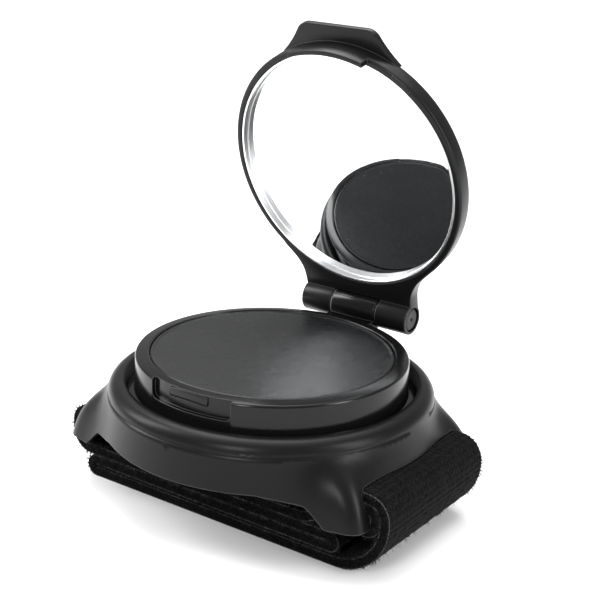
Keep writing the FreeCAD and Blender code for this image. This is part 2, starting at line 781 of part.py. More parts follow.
def hinge_washers():
    ring = cut("WasherRing", lying("WasherBlank", "washer_radius",
                                   "(middle_half_length + hinge_gap + hinge_washer)", "hinge_back", HINGE_HEIGHT),
               lying("WasherHole", "pin_radius", "(hinge_half_length)", "hinge_back", HINGE_HEIGHT))
    washers = cut("HingeWashers", ring, lying("WasherCore", "washer_radius + 1",
                                              "(middle_half_length + hinge_gap)", "hinge_back", HINGE_HEIGHT))
    return node(washers, "hinge_washers")


def main():
    node(made("Saddle", saddle_shape()), "saddle_base")
    for make in (base_cover, cover_screws, bearing_ring, strap, hook_patch, strap_stitches, strap_binding,
                 turning_case, face_plate, plate_adhesive, retaining_disc, spring_washer, swivel_screw,
                 lid_frame, mirror_insert, mirror_pad, hinge_pin, pin_caps, hinge_washers):
        make()
    doc.recompute()
    for thing in doc.Objects:
        if "Invalid" in thing.State or "Error" in thing.State:
            raise RuntimeError("%s failed: %s" % (thing.Name, thing.State))
    for piece in NODES:
        if piece.Shape.isNull() or not piece.Shape.isValid() or piece.Shape.Volume <= 0:
            raise RuntimeError("%s has a bad shape" % piece.Label)
    os.makedirs("parts", exist_ok=True)
    for piece in NODES:
        piece.Shape.exportStep("parts/%s.step" % piece.Label)
        print("%-16s %2d solids %9.1f mm3" % (piece.Label, len(piece.Shape.Solids), piece.Shape.Volume))


main()
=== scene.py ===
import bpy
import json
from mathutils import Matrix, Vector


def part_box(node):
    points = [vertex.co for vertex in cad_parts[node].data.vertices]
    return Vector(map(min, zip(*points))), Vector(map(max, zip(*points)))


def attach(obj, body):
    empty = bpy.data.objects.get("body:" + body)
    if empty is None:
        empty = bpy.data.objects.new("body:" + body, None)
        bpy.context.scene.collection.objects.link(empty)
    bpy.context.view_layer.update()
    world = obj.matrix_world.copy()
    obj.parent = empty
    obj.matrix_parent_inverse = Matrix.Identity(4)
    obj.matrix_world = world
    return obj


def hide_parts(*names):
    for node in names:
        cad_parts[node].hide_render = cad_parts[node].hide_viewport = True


bl_info = {
    "name": "Wrist mirror",
    "version": (1, 0, 0),
    "blender": (4, 5, 0),
    "location": "View3D > Sidebar > Mirror",
    "description": "Builds a folding wrist mirror round its packed parts",
    "category": "Add Mesh",
}

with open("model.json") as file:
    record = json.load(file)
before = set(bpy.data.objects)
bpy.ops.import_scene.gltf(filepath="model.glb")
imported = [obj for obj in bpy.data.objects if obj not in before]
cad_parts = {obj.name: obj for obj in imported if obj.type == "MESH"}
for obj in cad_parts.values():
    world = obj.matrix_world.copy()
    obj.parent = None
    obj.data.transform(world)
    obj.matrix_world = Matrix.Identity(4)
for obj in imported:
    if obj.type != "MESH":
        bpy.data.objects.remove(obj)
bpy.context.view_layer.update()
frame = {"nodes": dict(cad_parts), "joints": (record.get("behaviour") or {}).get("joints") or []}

import json
import math
import random

import bmesh
import bpy
from bpy.props import FloatProperty, FloatVectorProperty, PointerProperty
from mathutils import Matrix, Vector, noise

MM = 0.001
SPIN_STEPS = 192
LEVEL = 1e-9
WELD = 1e-7
NODE_WELD = 2e-6
BASE_WELD = 0.03 * MM
LIE_DOWN = Matrix.Rotation(math.radians(90), 4, "Y")
ABOUT = Matrix.Rotation(math.pi, 4, "Z")

LID_JOINT = next(joint for joint in frame["joints"] if joint["name"] == "lid_hinge")
HINGE = Vector(LID_JOINT["pos_m"])
OPEN_ANGLE = math.radians(max(LID_JOINT["range_deg"]))
LID_PLACE = Matrix.Translation(HINGE) @ Matrix.Rotation(-OPEN_ANGLE, 4, "X")


# ---- driving dimensions, in millimetres ---------------------------------------------------------------

# Turning case: radii from its own axis, heights from the floor.
CASE_RADIUS = 30.0
CASE_WALL = 2.0
CASE_BOTTOM = 24.7
CASE_TOP = 34.0
RIM_DROP = 0.38
RIM_SLOPE = 0.2
RIM_STEP = 0.4
LIP_RADIUS = 27.2
FLANGE_RADIUS = 31.6
FLANGE_HEIGHT = 1.0
SPINDLE_RADIUS = 5.0
SPINDLE_BOTTOM = 21.0
SCREW_HOLE = 1.5
SEAT_RADIUS = 26.9
SEAT_HEIGHT = 32.0
LEDGE_RADIUS = 25.2
LEDGE_THICKNESS = 1.2
RECESS_HALF = 10.3
RECESS_LOW = 29.5
RECESS_RADIUS = 29.0
RECESS_CORNER = 1.1
INSIDE_WALL = 28.2
NIB_HALF = 5.0
NIB_RADIUS = 29.05
NIB_LOW = 31.5
NIB_HIGH = 33.4

# Face plate.
PLATE_RADIUS = 26.7
PLATE_LOW = 32.2
PLATE_HIGH = 33.62
PLATE_BEAD = 0.8

# Hinge: the middle knuckle belongs to the case, the long barrel to the lid.
KNUCKLE_RADIUS = 3.65
KNUCKLE_HALF = 6.0
KNUCKLE_PLAY = 0.4
BARREL_HALF = 14.5
PIN_RADIUS = 1.3
PIN_PLAY = 0.04
ARM_TOP = 33.3
CAP_SEAT = 13.7
CAP_RADIUS = 2.6
CAP_FACE = 14.3

# Lid: its face and centre are measured from the hinge, with the lid shut.
LID_FACE = -0.45
LID_AWAY = -35.88
LID_RADIUS = 30.0
LID_THICKNESS = 4.6
POCKET_RADIUS = 28.5
POCKET_DEPTH = 3.5
NECK_THICKNESS = 3.7
TAB_THICKNESS = 1.5
CATCH_HALF = 9.4
CATCH_RADIUS = 28.9
CATCH_REACH = 2.7
LID_MIDDLE = Matrix.Translation((0.0, LID_AWAY * MM, 0.0))

# Mirror: a dome inside a thin silvered wall.
MIRROR_RADIUS = 27.9
MIRROR_EDGE_DEPTH = 1.7
MIRROR_WALL_RADIUS = 28.4
MIRROR_BACK = 3.3
MIRROR_RINGS = 24

# Cover screws.
SCREW_CIRCLE = 24.0
SCREW_SEAT = 16.2
SCREW_HEAD = 2.3
SCREW_SHANK = 1.2
SCREW_LENGTH = 6.2

# Strap: the pile, its loose fibres and its stitching.
PILE_DEPTH = 0.24
PILE_CLUMP = 1.0
FIBRE_COUNT = 16000
FIBRE_SEED = 11
FIBRE_BATCH = 60
FIBRE_ROOT = 0.06
FIBRE_TIP = 0.015
STITCHES = 9
STITCH_ROWS = 2
STITCH_ROW_PITCH = 3.1
BINDING_SKIN = 0.25


# ---- sizes and colours --------------------------------------------------------------------------------

class BaseSettings(bpy.types.PropertyGroup):
    colour: FloatVectorProperty(name="Plastic colour", description="Colour of the moulded base",
                                subtype="COLOR", default=(0.004, 0.004, 0.0043), min=0.0, max=1.0)
    roughness: FloatProperty(name="Roughness", description="How dull the moulded base is", default=0.34,
                             min=0.0, max=1.0, subtype="FACTOR")


class CaseSettings(bpy.types.PropertyGroup):
    colour: FloatVectorProperty(name="Case colour", description="Colour of the turning case", subtype="COLOR",
                                default=(0.004, 0.004, 0.0042), min=0.0, max=1.0)
    plate_colour: FloatVectorProperty(name="Plate colour", description="Colour of the round face plate",
                                      subtype="COLOR", default=(0.008, 0.0085, 0.009), min=0.0, max=1.0)
    rim_rounding: FloatProperty(name="Rim rounding", description="Radius of the case's outer top edge",
                                default=0.35 * MM, min=0.0, unit="LENGTH", precision=5)


class LidSettings(bpy.types.PropertyGroup):
    colour: FloatVectorProperty(name="Lid colour", description="Colour of the mirror's frame",
                                subtype="COLOR", default=(0.005, 0.005, 0.0052), min=0.0, max=1.0)
    silver: FloatVectorProperty(name="Mirror tint", description="Colour of the metallised mirror",
                                subtype="COLOR", default=(0.90, 0.915, 0.93), min=0.0, max=1.0)
    bulge: FloatProperty(name="Mirror bulge", description="How far the middle of the mirror stands out",
                         default=2.25 * MM, min=0.5 * MM, unit="LENGTH", precision=5)


class StrapSettings(bpy.types.PropertyGroup):
    colour: FloatVectorProperty(name="Strap colour", description="Colour of the loop pile", subtype="COLOR",
                                default=(0.0022, 0.0022, 0.0024), min=0.0, max=1.0)
    width: FloatProperty(name="Strap width", description="Width of the webbing", default=38.0 * MM,
                         min=10.0 * MM, unit="LENGTH", precision=5)
    thickness: FloatProperty(name="Strap thickness", description="Thickness of the webbing with its pile",
                             default=2.2 * MM, min=0.5 * MM, unit="LENGTH", precision=5)
    fuzz_length: FloatProperty(name="Fuzz length", description="Length of the longest loose fibres",
                               default=1.5 * MM, min=0.0, unit="LENGTH", precision=5)


class MirrorSettings(bpy.types.PropertyGroup):
    base: PointerProperty(type=BaseSettings)
    case: PointerProperty(type=CaseSettings)
    lid: PointerProperty(type=LidSettings)
    strap: PointerProperty(type=StrapSettings)


# ---- materials ----------------------------------------------------------------------------------------

class Wire:
    """A number in a material's nodes.  Python's operators add the Math nodes."""

    def __init__(self, finish, socket):
        self.finish = finish
        self.socket = socket

    def math(self, operation, *values):
        return self.finish.node("ShaderNodeMath", {"operation": operation}, dict(enumerate(values)))

    def __add__(self, other):
        return self.math("ADD", self, other)

    def __sub__(self, other):
        return self.math("SUBTRACT", self, other)

    def __rsub__(self, other):
        return self.math("SUBTRACT", other, self)

    def __mul__(self, other):
        return self.math("MULTIPLY", self, other)

    def clamped(self):
        return self.math("MINIMUM", self.math("MAXIMUM", self, 0.0), 1.0)

    __radd__ = __add__
    __rmul__ = __mul__


class Finish:
    """One material, built round its Principled shader."""

    def __init__(self, name):
        self.material = bpy.data.materials.new(name)
        self.material.use_nodes = True
        self.tree = self.material.node_tree
        self.shader = self.tree.nodes["Principled BSDF"]
        self.place = self.node("ShaderNodeTexCoord", out="Object")

    def node(self, kind, settings=None, sockets=None, out=0):
        made = self.tree.nodes.new(kind)
        for key, value in (settings or {}).items():
            if key == "stops":
                for stop, (position, shade) in zip(made.color_ramp.elements, value):
                    stop.position = position
                    stop.color = (shade, shade, shade, 1.0)
            else:
                setattr(made, key, value)
        for key, value in (sockets or {}).items():
            self.feed(made.inputs[key], value)
        return Wire(self, made.outputs[out])

    def feed(self, socket, value):
        if isinstance(value, Wire):
            self.tree.links.new(value.socket, socket)
        else:
            socket.default_value = value

    def set(self, **values):
        for key, value in values.items():
            self.feed(self.shader.inputs[key.replace("_", " ")], value)
        return self

    def noise(self, scale, detail=2.0, rough=0.5, vector=None):
        return self.node("ShaderNodeTexNoise", None, {"Vector": vector or self.place, "Scale": scale,
                                                      "Detail": detail, "Roughness": rough}, "Fac")

    def mix(self, factor, first, second):
        return self.node("ShaderNodeMix", {"data_type": "RGBA"}, {0: factor, 6: first, 7: second}, 2)

    def ramp(self, value, low, high):
        """0 below low, 1 above high."""
        return self.node("ShaderNodeMapRange", {"interpolation_type": "SMOOTHSTEP"},
                         {0: value, 1: low, 2: high, 3: 0.0, 4: 1.0})

    def wave(self, value, pitch):
        """A smooth row of ridges, one for each pitch."""
        return value.math("SINE", value * (2 * math.pi / pitch)) * 0.5 + 0.5

    def soft_edges(self, radius):
        return self.node("ShaderNodeBevel", {"samples": 6}, {"Radius": radius})

    def edge_mask(self, radius):
        """1 along sharp edges, 0 on flat faces."""
        plain = self.node("ShaderNodeNewGeometry", out="Normal")
        along = self.node("ShaderNodeVectorMath", {"operation": "DOT_PRODUCT"},
                          {0: plain, 1: self.soft_edges(radius)}, "Value")
        return ((1 - along) * 6.0).clamped()

    def bump(self, height, distance, strength=1.0, under=None):
        sockets = {"Height": height, "Distance": distance, "Strength": strength}
        if under:
            sockets["Normal"] = under
        return self.node("ShaderNodeBump", None, sockets)


def shade(colour, factor=1.0):
    """A colour made darker or lighter."""
    return tuple(min(1.0, channel * factor) for channel in colour[:3]) + (1.0,)


def moulded(name, colour, roughness, grain=0.010, edge_highlight=7.0, specular=0.14, edge=0.22):
    """Moulded plastic: fine spark texture, faint flow marks, and a painted highlight that makes sharp edges
    brighter, up to worn times the colour.
    """
    look = Finish(name)
    flow = look.noise(90.0, 3.0, 0.6)
    fine = look.noise(5200.0, 2.0, 0.6)
    specks = look.ramp(look.noise(900.0, 2.0, 0.5), 0.66, 0.78)
    edges = look.edge_mask(edge * MM)
    tone = look.mix(flow, shade(colour, 0.85), shade(colour, 1.2))
    # Painted highlight: along sharp edges the colour is made up to worn times lighter, standing in for the
    # light the edges catch.
    tone = look.mix(edges * 0.7, tone, shade(colour, edge_highlight))
    tone = look.mix(specks * 0.03, tone, shade((0.10, 0.10, 0.105)))
    look.set(Base_Color=tone, Roughness=roughness + flow * 0.10 + fine * 0.06 - 0.08 + edges * 0.04,
             Normal=look.bump(fine, grain * MM, 0.7, look.soft_edges(edge * MM)),
             Specular_IOR_Level=specular)
    return look.material


def metal(name, colour, roughness, turned=True):
    """Bare steel with turning marks or a rolled grain."""
    look = Finish(name)
    grain = look.noise(2600.0 if turned else 700.0, 3.0, 0.7)
    stain = look.noise(160.0, 4.0, 0.6)
    look.set(Base_Color=look.mix(stain, shade(colour, 0.82), shade(colour, 1.08)), Metallic=1.0,
             Roughness=roughness + grain * 0.16 + stain * 0.08 - 0.1,
             Normal=look.bump(grain, 0.008 * MM, 0.5, look.soft_edges(0.1 * MM)))
    return look.material


def silvered(name, colour):
    """Vacuum silvering over moulded plastic: a faint orange peel and a few dull spots."""
    look = Finish(name)
    cloud = look.noise(60.0, 3.0, 0.6)
    spots = look.ramp(look.noise(1400.0, 1.0, 0.4), 0.74, 0.82)
    look.set(Base_Color=look.mix(spots * 0.4, shade(colour), shade(colour, 0.7)), Metallic=1.0,
             Roughness=0.012 + cloud * 0.03 + spots * 0.2,
             Normal=look.bump(look.noise(130.0, 1.0, 0.4), 0.0012 * MM, 0.5))
    return look.material


def pile(name, colour, ribbed=True, light=5.0):
    """Looped pile: rows of loops and matted patches, with painted shade in the hollows, painted highlights on
    loop tops and rib crests, and a painted sheen that lightens the pile along the cut edges.
    """
    look = Finish(name)
    clumps = look.noise(420.0, 4.0, 0.7)
    loops = look.node("ShaderNodeTexVoronoi", {"feature": "F1"}, {"Vector": look.place, "Scale": 1500.0},
                      "Distance")
    hairs = look.noise(6000.0, 3.0, 0.8)
    edges = look.edge_mask(0.5 * MM)
    height = clumps * 0.5 + (1 - loops) * 0.8 + hairs * 0.3
    # Painted shade and highlight: the colour follows the pile's height, darker in the hollows between loops
    # and lighter on the loop tops.
    tone = look.mix(look.ramp(height, 0.5, 1.25), shade(colour, 0.45), shade(colour, 2.2))
    if ribbed:
        along = look.node("ShaderNodeAttribute", {"attribute_name": "along"}, out="Fac")
        across = look.node("ShaderNodeSeparateXYZ", None, {0: look.place}, "Y")
        flat = 1 - look.ramp(across.math("ABSOLUTE", across), 17.9 * MM, 18.6 * MM)
        drift = look.noise(160.0, 2.0, 0.5) * 0.5 * MM
        ribs = look.wave(along + drift, 1.25 * MM) * flat
        height = height + ribs * 0.6
        # Painted highlight: the rib crests are made lighter in colour.
        tone = look.mix(ribs * 0.30, tone, shade(colour, 3.2))
    # Painted sheen: along sharp cut edges the pile is made much lighter, standing in for light caught by its
    # fibres; light sets how much.
    edge_sheen = look.ramp(hairs * edges, 0.12, 0.36)
    tone = look.mix(edge_sheen * 0.9, tone, shade(colour, 9.0 * light))
    look.set(Base_Color=tone, Roughness=0.92 + clumps * 0.08, Normal=look.bump(height, 0.30 * MM, 1.0),
             Specular_IOR_Level=0.05, Sheen_Weight=0.02, Sheen_Roughness=0.5)
    return look.material


def tape(name, colour, roughness=0.6):
    """Thin foam or tape: an even skin with small cells."""
    look = Finish(name)
    cells = look.node("ShaderNodeTexVoronoi", {"feature": "F1"}, {"Vector": look.place, "Scale": 1800.0},
                      "Distance")
    look.set(Base_Color=look.mix(cells, shade(colour, 0.85), shade(colour, 1.1)),
             Roughness=roughness + cells * 0.2, Normal=look.bump(cells, 0.03 * MM, 0.6))
    return look.material


# ---- modelling ----------------------------------------------------------------------------------------

def spun(corners, steps=SPIN_STEPS, turn=2 * math.pi):
    """A shape turned about Z.  Each corner is a radius, a height and a rounding, in millimetres."""
    bm = bmesh.new()
    verts = [bm.verts.new((radius * MM, 0.0, height * MM)) for radius, height, rounding in corners]
    face = bm.faces.new(verts)
    round_off(bm, verts, [corner[2] for corner in corners])
    bm.faces.ensure_lookup_table()
    bmesh.ops.delete(bm, geom=bm.faces[:], context="FACES_ONLY")
    axis = [edge for edge in bm.edges if all(abs(vert.co.x) < LEVEL for vert in edge.verts)]
    bmesh.ops.delete(bm, geom=axis, context="EDGES")
    whole = turn >= 2 * math.pi
    bmesh.ops.spin(bm, geom=bm.verts[:] + bm.edges[:], cent=(0, 0, 0), axis=(0, 0, 1), angle=turn,
                   steps=steps, use_merge=whole)
    bmesh.ops.remove_doubles(bm, verts=bm.verts[:], dist=WELD)
    if not whole:
        bmesh.ops.holes_fill(bm, edges=[edge for edge in bm.edges if edge.is_boundary], sides=0)
    bmesh.ops.recalc_face_normals(bm, faces=bm.faces[:])
    return bm


def round_off(bm, verts, roundings):
    """Rounds each corner of a flat face by its own radius, in millimetres."""
    for vert, rounding in zip(verts, roundings):
        if rounding > 0:
            bmesh.ops.bevel(bm, geom=[vert], offset=rounding * MM, offset_type="OFFSET", affect="VERTICES",
                            segments=6 if rounding > 1.5 else 3, profile=0.5, material=-1)


def oblong(half, near, far, near_corner=0.0, far_corner=0.0):
    """An outline as wide as twice half, from near to far along Y, with its corners' roundings."""
    return [(-half, near, near_corner), (half, near, near_corner), (half, far, far_corner),
            (-half, far, far_corner)]


def both_sides(left):
    """An outline from its left half, in millimetres, mirrored in the plane X = 0."""
    return left + [(-x, y, rounding) for x, y, rounding in reversed(left)]


def slab(corners, low, high, chamfer=0.0):
    """A flat shape with an outline of corners (x, y, rounding), between two heights, in millimetres."""
    bm = bmesh.new()
    verts = [bm.verts.new((x * MM, y * MM, low * MM)) for x, y, rounding in corners]
    bm.faces.new(verts)
    round_off(bm, verts, [corner[2] for corner in corners])
    made = bmesh.ops.extrude_face_region(bm, geom=bm.faces[:])["geom"]
    top = [item for item in made if isinstance(item, bmesh.types.BMVert)]
    bmesh.ops.translate(bm, verts=top, vec=(0, 0, (high - low) * MM))
    bmesh.ops.recalc_face_normals(bm, faces=bm.faces[:])
    if chamfer:
        flat = [edge for edge in bm.edges if abs(edge.verts[0].co.z - edge.verts[1].co.z) < LEVEL]
        bmesh.ops.bevel(bm, geom=flat, offset=chamfer * MM, offset_type="OFFSET", affect="EDGES", segments=3,
                        profile=0.5, material=-1, clamp_overlap=True)
    return bm


def moved(bm, *matrices):
    """Moves a shape by each matrix in turn."""
    for matrix in matrices:
        bmesh.ops.transform(bm, matrix=matrix, verts=bm.verts[:])
    return bm


def shift(x, y, z):
    """A move in millimetres."""
    return Matrix.Translation((x * MM, y * MM, z * MM))


def rod(radius, half_length, rounding=0.0, steps=96):
    """A cylinder along X."""
    return moved(spun([(0, -half_length, 0), (radius, -half_length, rounding),
                       (radius, half_length, rounding), (0, half_length, 0)], steps), LIE_DOWN)


def plain_object(bm, name):
    """Turns a shape into a piece of the scene."""
    mesh = bpy.data.meshes.new(name)
    bm.to_mesh(mesh)
    bm.free()
    thing = bpy.data.objects.new(name, mesh)
    bpy.context.scene.collection.objects.link(thing)
    return thing


def evaluated(thing):
    """Applies the piece's modifiers to its mesh."""
    graph = bpy.context.evaluated_depsgraph_get()
    mesh = bpy.data.meshes.new_from_object(thing.evaluated_get(graph), depsgraph=graph)
    thing.modifiers.clear()
    thing.data = mesh


def combined(base, *tools):
    """Adds or cuts each (operation, bmesh) on a piece."""
    for operation, bm in tools:
        tool = plain_object(bm, "tool")
        modifier = base.modifiers.new("tool", "BOOLEAN")
        modifier.operation = operation
        modifier.solver = "EXACT"
        modifier.object = tool
        evaluated(base)
        bpy.data.objects.remove(tool)


def taken(piece):
    """The shape of a piece, which is then removed."""
    bm = bmesh.new()
    bm.from_mesh(piece.data)
    bpy.data.objects.remove(piece)
    return bm


def dressed(thing, material, body, slot, *nodes, sharp=32):
    """Gives a piece its finish and its body, and hides the CAD nodes it stands for."""
    mesh = thing.data
    mesh.materials.clear()
    mesh.materials.append(material)
    mesh.shade_smooth()
    mesh.set_sharp_from_angle(angle=math.radians(sharp))
    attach(thing, body)
    if nodes:
        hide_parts(*nodes)
    return thing


def merged_copy(node, name, weld=NODE_WELD):
    """A welded copy of a CAD node, ready to be shaded smooth."""
    bm = bmesh.new()
    bm.from_mesh(frame["nodes"][node].data)
    bmesh.ops.remove_doubles(bm, verts=bm.verts[:], dist=weld)
    bmesh.ops.dissolve_degenerate(bm, dist=1e-6, edges=bm.edges[:])
    return plain_object(bm, name)


def finish_node(node, material):
    """A CAD node that stays as it is and gets a better material."""
    mesh = frame["nodes"][node].data
    mesh.materials.clear()
    mesh.materials.append(material)


def settings():
    """The sizes and colours chosen in the panel."""
    return bpy.context.scene.wrist_mirror


# ---- base ---------------------------------------------------------------------------------------------

class MIRROR_OT_base(bpy.types.Operator):
    """Finish the lugged base"""
    bl_idname = "wrist_mirror.base"
    bl_label = "Base"

    def execute(self, context):
        sizes = settings().base
        plastic = moulded("BasePlastic", sizes.colour, sizes.roughness, grain=0.005, edge_highlight=26.0, edge=0.3)
        dressed(merged_copy("saddle_base", "base_shell", weld=BASE_WELD), plastic, "base", "base_plastic",
                "saddle_base", sharp=28)
        return {"FINISHED"}


class MIRROR_OT_base_parts(bpy.types.Operator):
    """Add the cover, its screws and the bearing ring"""
    bl_idname = "wrist_mirror.base_parts"
    bl_label = "Base cover and screws"

    def execute(self, context):
        colour = settings().base.colour
        cover = moulded("CoverPlastic", colour, 0.5, grain=0.02)
        dressed(merged_copy("base_cover", "cover_plate"), cover, "base", "cover_plastic", "base_cover")
        finish_node("bearing_ring", moulded("RingPlastic", (0.62, 0.60, 0.55), 0.35))
        steel = metal("ScrewSteel", (0.50, 0.50, 0.52), 0.32)
        for k in range(4):
            screw = plain_object(spun([
                (0, 0.15, 0), (SCREW_HEAD - 0.3, 0.15, 0.3), (SCREW_HEAD, 0.6, 0.1), (SCREW_HEAD, 1.1, 0),
                (SCREW_SHANK, 1.1, 0), (SCREW_SHANK, SCREW_LENGTH, 0.3), (0, SCREW_LENGTH, 0)], 48),
                "cover_screw_%d" % (k + 1))
            slot = oblong(1.3, -0.25, 0.25, 0.1, 0.1)
            for quarter in (0, 90):
                turn = Matrix.Rotation(math.radians(quarter + 12 * k), 4, "Z")
                combined(screw, ("DIFFERENCE", moved(slab(slot, -1, 0.8), turn)))
            place = Matrix.Rotation(math.radians(45 + 90 * k), 4, "Z") @ shift(SCREW_CIRCLE, 0, SCREW_SEAT)
            screw.data.transform(place)
            dressed(screw, steel, "base", "screw_steel")
            if k == 0:
                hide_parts("cover_screws")
        return {"FINISHED"}


# ---- strap --------------------------------------------------------------------------------------------

# Corners (x, z, radius) in millimetres, from the strap's fixed end to its loose end.
STRAP_ROUTE = [
    (30.6, 10.25, 0.0), (39.75, 10.25, 1.9), (39.75, 15.35, 1.9), (34.6, 15.35, 6.0), (22.82, 8.55, 6.0),
    (-22.82, 8.55, 6.0), (-34.6, 15.35, 6.0), (-40.95, 15.35, 3.0), (-40.95, 6.3, 4.2),
    (30.4, 6.3, 1.2), (30.4, 3.95, 1.1), (-36.6, 3.95, 1.4), (-36.6, 1.1, 1.4), (42.1, 1.1, 11.8),
    (42.1, 17.6, 4.2), (32.6, 17.6, 0.0),
]


def walked(route, step):
    """A wire in the plane Y = 0 through corners (x, z, radius), each rounded by its radius."""
    bm = bmesh.new()
    along = bm.verts.layers.float.new("along")
    points = [Vector((x * MM, 0.0, z * MM)) for x, z, radius in route]
    tip = bm.verts.new(points[0])
    first = tip
    for k in range(1, len(points)):
        run = (points[k] - points[k - 1]).normalized()
        turn = 0.0
        back = 0.0
        radius = route[k][2] * MM
        if radius:
            onward = (points[k + 1] - points[k]).normalized()
            turn = math.copysign(run.angle(onward), run.cross(onward).y)
            back = radius * math.tan(abs(turn) / 2)
        gap = points[k] - run * back - tip.co
        pieces = max(1, round(gap.length / step))
        for _ in range(pieces):
            tip = bmesh.ops.extrude_vert_indiv(bm, verts=[tip])["verts"][0]
            bmesh.ops.translate(bm, verts=[tip], vec=gap / pieces)
        if turn:
            side = Vector((0, 1, 0)).cross(run) * math.copysign(radius, turn)
            made = bmesh.ops.spin(bm, geom=[tip], cent=tip.co + side, axis=(0, 1, 0), angle=turn,
                                  steps=max(4, round(abs(turn) * radius / step)))["geom_last"]
            tip = [item for item in made if isinstance(item, bmesh.types.BMVert)][0]
    here = first
    came = None
    travelled = 0.0
    while True:
        here[along] = travelled
        onward = [edge for edge in here.link_edges if edge is not came]
        if not onward:
            break
        came = onward[0]
        travelled += came.calc_length()
        here = came.other_vert(here)
    return bm, travelled


def band(route, width, thickness, name, step=0.8 * MM, rounding=0.45 * MM):
    """A flat strap along a route, centred on the plane Y = 0."""
    bm, length = walked(route, step)
    moved(bm, shift(0, -width / 2 / MM, 0))
    rows = max(4, round(width / step))
    edges = bm.edges[:]
    for _ in range(rows):
        made = bmesh.ops.extrude_edge_only(bm, edges=edges)["geom"]
        edges = [item for item in made if isinstance(item, bmesh.types.BMEdge)
                 and all(vert in made for vert in item.verts)]
        bmesh.ops.translate(bm, verts=[item for item in made if isinstance(item, bmesh.types.BMVert)],
                            vec=(0, width / rows, 0))
    bmesh.ops.recalc_face_normals(bm, faces=bm.faces[:])
    piece = plain_object(bm, name)
    wall = piece.modifiers.new("wall", "SOLIDIFY")
    wall.thickness = thickness
    wall.offset = 0.0
    soft = piece.modifiers.new("soft", "BEVEL")
    soft.width = rounding
    soft.segments = 2
    soft.limit_method = "ANGLE"
    soft.angle_limit = math.radians(60)
    evaluated(piece)
    return piece, length


def ruffle(piece, depth, size):
    """Moves each point a little along its normal, but never under the floor, so that the pile isn't flat."""
    mesh = piece.data
    ways = [vertex.normal.copy() for vertex in mesh.vertices]
    for vertex, way in zip(mesh.vertices, ways):
        seed = vertex.co / size
        vertex.co += way * depth * (noise.noise(seed) + 0.5 * noise.noise(seed * 2.7))
        vertex.co.z = max(vertex.co.z, 0.0)


def fuzz(piece, name, count, longest, seed):
    """Loose fibres standing out of the pile, thicker along the strap's edges."""
    rng = random.Random(seed)
    source = [vertex for vertex in piece.data.vertices if vertex.co.z > 0.3 * MM]
    edge = max(vertex.co.y for vertex in source) - 0.9 * MM
    rims = [vertex for vertex in source if abs(vertex.co.y) > edge]
    whole = bmesh.new()
    batch = bpy.data.meshes.new("batch")
    for start in range(0, count, FIBRE_BATCH):
        bm = bmesh.new()
        for k in range(start, min(start + FIBRE_BATCH, count)):
            root = rng.choice(rims if k % 3 else source)
            lean = Vector((rng.uniform(-1, 1), rng.uniform(-1, 1), rng.uniform(-1, 1))) * 0.9
            way = (root.normal + lean).normalized()
            if root.co.z < 2.0 * MM and way.z < 0:
                way.z = -way.z
            length = longest * rng.uniform(0.3, 1.0)
            turn = way.to_track_quat("Z", "Y").to_matrix().to_4x4()
            place = Matrix.Translation(root.co + way * length * 0.35) @ turn
            bmesh.ops.create_cone(bm, cap_ends=True, segments=3, radius1=FIBRE_ROOT * MM,
                                  radius2=FIBRE_TIP * MM, depth=length, matrix=place)
        bm.to_mesh(batch)
        bm.free()
        whole.from_mesh(batch)
    bpy.data.meshes.remove(batch)
    return plain_object(whole, name)


class MIRROR_OT_strap(bpy.types.Operator):
    """Add the folded strap with its fuzz"""
    bl_idname = "wrist_mirror.strap"
    bl_label = "Strap"

    def execute(self, context):
        sizes = settings().strap
        cloth = pile("LoopPile", sizes.colour)
        webbing, length = band(STRAP_ROUTE, sizes.width, sizes.thickness, "webbing")
        ruffle(webbing, PILE_DEPTH * MM, PILE_CLUMP * MM)
        dressed(webbing, cloth, "base", "strap_fabric", "strap", sharp=80)
        fibre = Finish("Fibre")
        tone = fibre.mix(fibre.noise(700.0), shade(sizes.colour), shade(sizes.colour, 6.0))
        fibre.set(Base_Color=tone, Roughness=0.7, Specular_IOR_Level=0.2)
        hairs = fuzz(webbing, "webbing_fuzz", FIBRE_COUNT, sizes.fuzz_length, FIBRE_SEED)
        dressed(hairs, fibre.material, "base", "strap_fabric")
        return {"FINISHED"}


